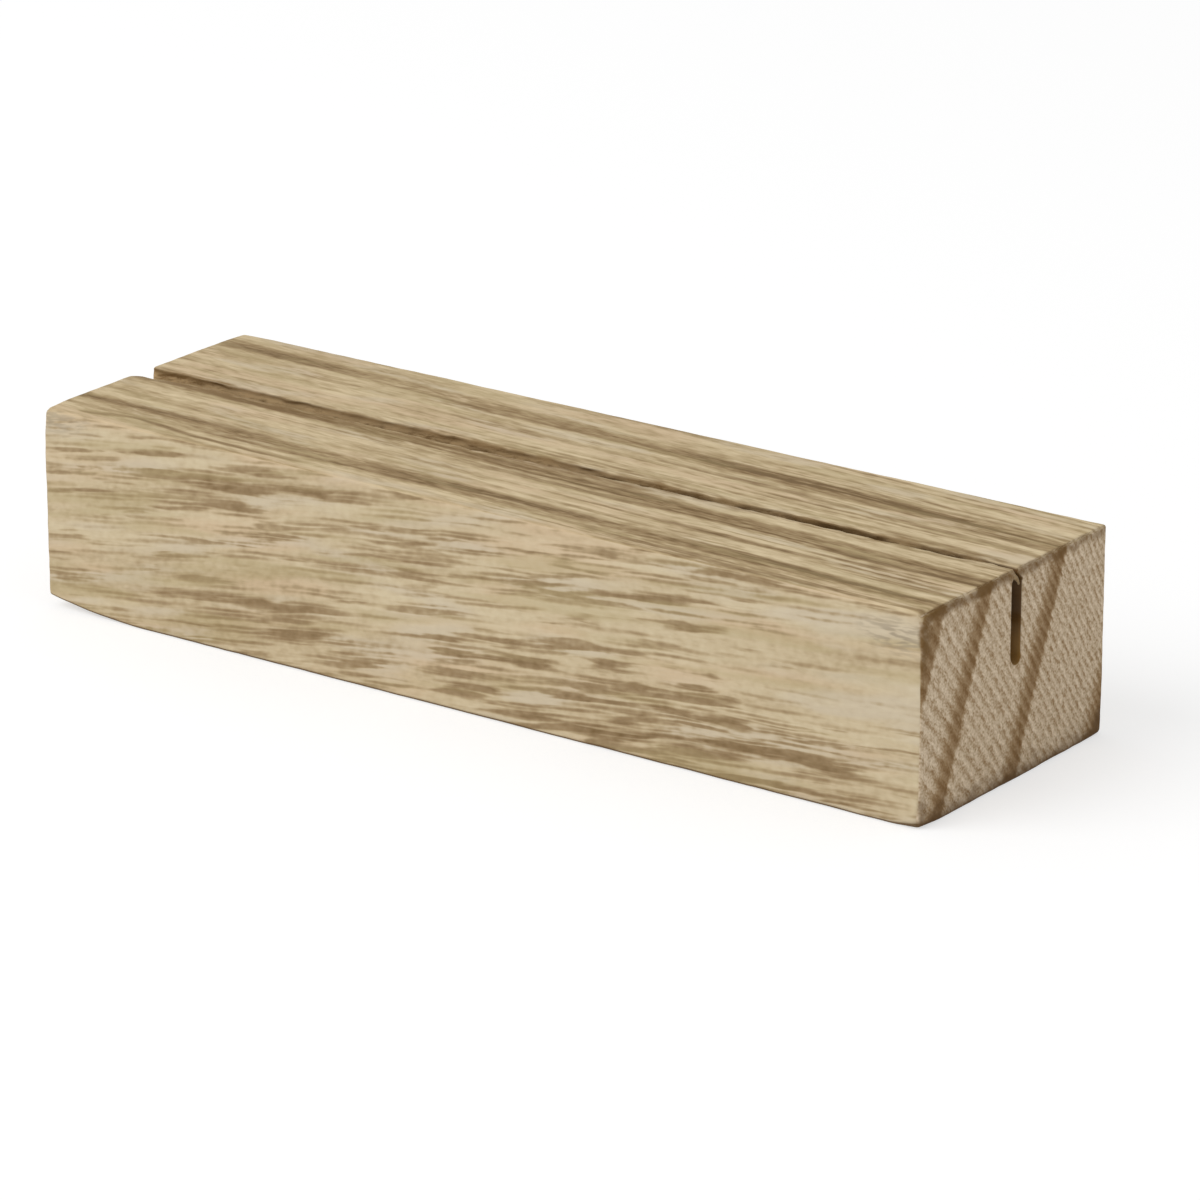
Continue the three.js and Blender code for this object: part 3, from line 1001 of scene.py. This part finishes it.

# Dirt, scorching and painted shade: the worn edges of the end, and the kerf's walls and its stained lips.
# Painted shade runs along the foot of the block, just under the kerf's rim, and high in the kerf at its right
# end. The blade scorched the kerf's walls in streaks, a little more towards the right.
# The first brown is the dirt on the worn edges, and also the painted shade along the foot.
DIRT_AND_SHADE_BROWN = colour(96, 70, 38)
EDGE_AMBER = colour(108, 78, 36)
EDGE_LOW_TO_HIGH = (-2.0, 4.0)
EDGE_CHIPS = (2.0, 1.6, 1.0)
EDGE_CHIP_DETAIL = 2.0
EDGE_CHIP_SWAY = 0.8
EDGE_SHOWS = (0.25, 1.15)
EDGE_ON_BAND = 1.3
EDGE_DEPTH = 0.9
KERF_WOOD = colour(182, 154, 114)
# The scorch brown also paints the shade just under the kerf's rim.
KERF_SCORCH_AND_SHADE = colour(112, 86, 53)
KERF_STREAKS = (1.4, 1.0, 0.28)
KERF_STREAK_DETAIL = 4.0
KERF_STREAK_ROUGHNESS = 0.7
SCORCH_GROUND = (0.1, 0.3)
SCORCH_SWAY = 3.2
SCORCH_SHOWS = (0.0, 1.1)
# Painted shade under the kerf's rim, where the lips shade the walls.
RIM_SHADE_SWAY = 0.5
RIM_SHADE_SHOWS = (0.70, 0.25)
RIM_SHADE_DEPTH = (0.70, 0.45)
KERF_DEEP = colour(150, 112, 57)
# Painted shade high in the kerf at its right end, under the torn slivers.
SLIVER_SHADE_BROWN = colour(92, 61, 29)
SLIVER_SHADE_SHOWS = (8.0, 4.0)
BLADE_EXIT = (45.0, 48.0)
KERF_COLOUR_DEPTH = 0.9
LIP_BROWN = colour(124, 96, 58)
LIP_STREAK_SWAY = 1.0
LIP_FLECK_SWAY = 1.2
LIP_SHOWS = (0.12, 1.15)
LIP_DEPTH = 0.72
# Painted shade on the lower arris, which faces down towards the floor.
FOOT_SHADE_STARTS = (0.0, -0.4)
FOOT_SHADE_ENDS = (-0.98, -0.85)
FOOT_SHADE_DEPTH = 0.9

chips = mottle(grain_place, EDGE_CHIPS, EDGE_CHIP_DETAIL)
# This measure holds the dirt on the end's edges and the painted shade along its foot.
edge_worn_and_shaded = product(measure("wear_and_shade"), between(end_band, 1.0, EDGE_ON_BAND))
edge_wear_and_shade = rise(sway(edge_worn_and_shaded, chips, EDGE_CHIP_SWAY), *EDGE_SHOWS)
edge_colour = lay(DIRT_AND_SHADE_BROWN, EDGE_AMBER, rise(along_grain["Z"], *EDGE_LOW_TO_HIGH))
wood_colour = lay(wood_colour, edge_colour, edge_wear_and_shade, EDGE_DEPTH)

lip_streaked = sway(measure("lip_stain"), streak, LIP_STREAK_SWAY)
stained_lip = rise(sway(lip_streaked, top_fleck, LIP_FLECK_SWAY), *LIP_SHOWS)
wood_colour = lay(wood_colour, LIP_BROWN, stained_lip, LIP_DEPTH)

kerf_streak = mottle(grain_place, KERF_STREAKS, KERF_STREAK_DETAIL, KERF_STREAK_ROUGHNESS)
scorch = reckon("MAXIMUM", figure_share, between(towards_right, *SCORCH_GROUND))
scorched = rise(sway(scorch, kerf_streak, SCORCH_SWAY), *SCORCH_SHOWS)
# Painted shade: the walls darken just under the rim.
kerf_rim_shade = rise(sway(kerf_depth_here, kerf_streak, RIM_SHADE_SWAY), *RIM_SHADE_SHOWS)
# Near the right end the wall is deep brown, and painted shade darkens its upper part under the torn slivers.
exit_colour_and_shade = lay(KERF_DEEP, SLIVER_SHADE_BROWN, rise(kerf_depth_here, *SLIVER_SHADE_SHOWS))
kerf_colour = lay(KERF_WOOD, KERF_SCORCH_AND_SHADE, scorched)
kerf_colour = lay(kerf_colour, KERF_SCORCH_AND_SHADE, kerf_rim_shade, between(towards_right, *RIM_SHADE_DEPTH))
kerf_colour = lay(kerf_colour, exit_colour_and_shade, rise(along_grain["X"], *BLADE_EXIT))
wood_colour = lay(wood_colour, kerf_colour, in_kerf_share, without(on_end), KERF_COLOUR_DEPTH)

# Painted shade: the lower arris is darkened where the floor shades it.
foot = product(rise(facing["Z"], *FOOT_SHADE_STARTS), rise(facing["Z"], *FOOT_SHADE_ENDS))
wood_colour = lay(wood_colour, DIRT_AND_SHADE_BROWN, foot, FOOT_SHADE_DEPTH)

# The finish: bare and matt, a little smoother on the brown lines and without any shine down in the kerf. The
# fibres and the rows of cells stand up by a few hundredths of a millimetre.
PALE_ROUGHNESS = 0.80
LINE_ROUGHNESS = 0.70
WOOD_SHINE = 0.2
BUMP_STRENGTH = 0.5
BUMP_HEIGHT = 0.05

bump = timber_nodes.new("ShaderNodeBump")
feed(bump.inputs["Strength"], BUMP_STRENGTH)
feed(bump.inputs["Distance"], BUMP_HEIGHT * MM)
feed(bump.inputs["Height"], reckon("MULTIPLY", between(on_end, fibre, end_tone), -1.0))
feed(timber_shader.inputs["Base Color"], wood_colour)
feed(timber_shader.inputs["Roughness"], between(line, PALE_ROUGHNESS, LINE_ROUGHNESS))
feed(timber_shader.inputs["Specular IOR Level"], between(in_kerf_share, WOOD_SHINE, 0.0))
feed(timber_shader.inputs["Normal"], bump.outputs["Normal"])

block_mesh.materials.append(timber)
block = bpy.data.objects.new("slotted_block_timber", block_mesh)
bpy.context.collection.objects.link(block)
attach(block, "root")
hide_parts("slotted_block")

# The torn fibres: where the blade came out at the right end it left slivers across the kerf's mouth, still
# rooted in the lips. Each is a flat, tapered splinter of the same wood, bent where it tore, and is given by its
# root, its bend and its tip, then its width and its thickness.
SLIVERS = (
    ((49.55, -1.40, 19.35), (49.70, 0.20, 19.75), (49.50, 1.25, 17.90), 0.60, 0.70),
    ((49.60, 1.60, 19.30), (49.40, 0.50, 19.55), (49.30, -0.50, 19.00), 0.60, 0.50),
    ((47.60, -1.00, 19.65), (48.60, -0.45, 19.75), (49.60, -0.10, 19.45), 0.70, 0.35),
    ((47.00, 1.20, 19.65), (48.20, 0.70, 19.75), (49.40, 0.55, 19.45), 0.60, 0.35),
    ((46.00, -0.95, 19.70), (47.20, -0.45, 19.70), (48.60, -0.25, 19.45), 0.55, 0.30),
    ((45.40, 1.20, 19.70), (46.80, 0.75, 19.70), (48.20, 0.45, 19.45), 0.50, 0.30),
    ((44.20, -0.90, 19.72), (45.60, -0.40, 19.70), (47.20, 0.00, 19.45), 0.45, 0.25),
    ((43.60, 1.20, 19.72), (45.00, 0.80, 19.70), (46.60, 0.70, 19.45), 0.40, 0.22),
    ((42.40, -0.85, 19.72), (43.80, -0.45, 19.70), (45.60, -0.35, 19.45), 0.40, 0.20),
    ((41.00, -0.80, 19.70), (42.40, -0.50, 19.68), (43.80, -0.40, 19.45), 0.35, 0.18),
    ((40.60, 1.20, 19.72), (42.00, 0.90, 19.70), (43.20, 0.80, 19.50), 0.35, 0.18),
)
SLIVER_STATIONS = 12
SLIVER_SIDES = 8
SLIVER_TIP = 0.25
SLIVER_RAGGED = 0.25
SLIVER_NICKS_PER_MM = 3.0
STRAIGHT_UP = Vector((0, 0, 1))

fibre_points = []
fibre_faces = []
for root, bend, tip, width, thickness in SLIVERS:
    root, bend, tip = (Vector(place) for place in (root, bend, tip))
    first_point = len(fibre_points)
    for station in range(SLIVER_STATIONS):
        run = station / (SLIVER_STATIONS - 1)
        middle = root * (1 - run) ** 2 + bend * 2 * run * (1 - run) + tip * run ** 2
        onward = ((bend - root) * (1 - run) + (tip - bend) * run).normalized()
        sideways = onward.cross(STRAIGHT_UP).normalized()
        upward = sideways.cross(onward)
        girth = SLIVER_TIP + (1 - SLIVER_TIP) * (1 - run ** 2)
        uneven = 1.0 + SLIVER_RAGGED * noise.noise(middle * SLIVER_NICKS_PER_MM)
        for side in range(SLIVER_SIDES):
            turn = 2 * math.pi * side / SLIVER_SIDES
            out_sideways = sideways * (math.cos(turn) * width / 2 * girth * uneven)
            out_upward = upward * (math.sin(turn) * thickness / 2 * girth)
            fibre_points.append(middle + out_sideways + out_upward)
    for station in range(SLIVER_STATIONS - 1):
        here = first_point + station * SLIVER_SIDES
        onto = here + SLIVER_SIDES
        for side in range(SLIVER_SIDES):
            after = (side + 1) % SLIVER_SIDES
            fibre_faces.append((here + side, onto + side, onto + after, here + after))
    last_ring = first_point + (SLIVER_STATIONS - 1) * SLIVER_SIDES
    fibre_faces.append(tuple(range(first_point, first_point + SLIVER_SIDES)))
    fibre_faces.append(tuple(reversed(range(last_ring, last_ring + SLIVER_SIDES))))

fibre_mesh = bpy.data.meshes.new("torn_fibres")
fibre_mesh.from_pydata([point * MM for point in fibre_points], [], fibre_faces)
for polygon in fibre_mesh.polygons:
    polygon.use_smooth = True

FIBRE_PALE = colour(190, 168, 132)
FIBRE_BROWN = colour(120, 92, 56)
FIBRE_PATCHES_PER_MM = 1.2
FIBRE_PATCH_DETAIL = 2.0
FIBRE_ROUGHNESS = 0.85
torn_wood = bpy.data.materials.new("torn_wood")
torn_wood.use_nodes = True
torn_nodes = torn_wood.node_tree.nodes
torn_place = torn_nodes.new("ShaderNodeTexCoord")
torn_noise = torn_nodes.new("ShaderNodeTexNoise")
feed(torn_noise.inputs["Vector"], torn_place.outputs["Object"])
feed(torn_noise.inputs["Scale"], FIBRE_PATCHES_PER_MM / MM)
feed(torn_noise.inputs["Detail"], FIBRE_PATCH_DETAIL)
torn_mix = torn_nodes.new("ShaderNodeMix")
torn_mix.data_type = "RGBA"
feed(torn_mix.inputs[0], torn_noise.outputs["Fac"])
feed(torn_mix.inputs[6], FIBRE_PALE)
feed(torn_mix.inputs[7], FIBRE_BROWN)
torn_shader = torn_nodes["Principled BSDF"]
feed(torn_shader.inputs["Base Color"], torn_mix.outputs[2])
feed(torn_shader.inputs["Roughness"], FIBRE_ROUGHNESS)
feed(torn_shader.inputs["Specular IOR Level"], WOOD_SHINE)

fibre_mesh.materials.append(torn_wood)
torn_fibres = bpy.data.objects.new("torn_fibres", fibre_mesh)
bpy.context.collection.objects.link(torn_fibres)
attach(torn_fibres, "root")
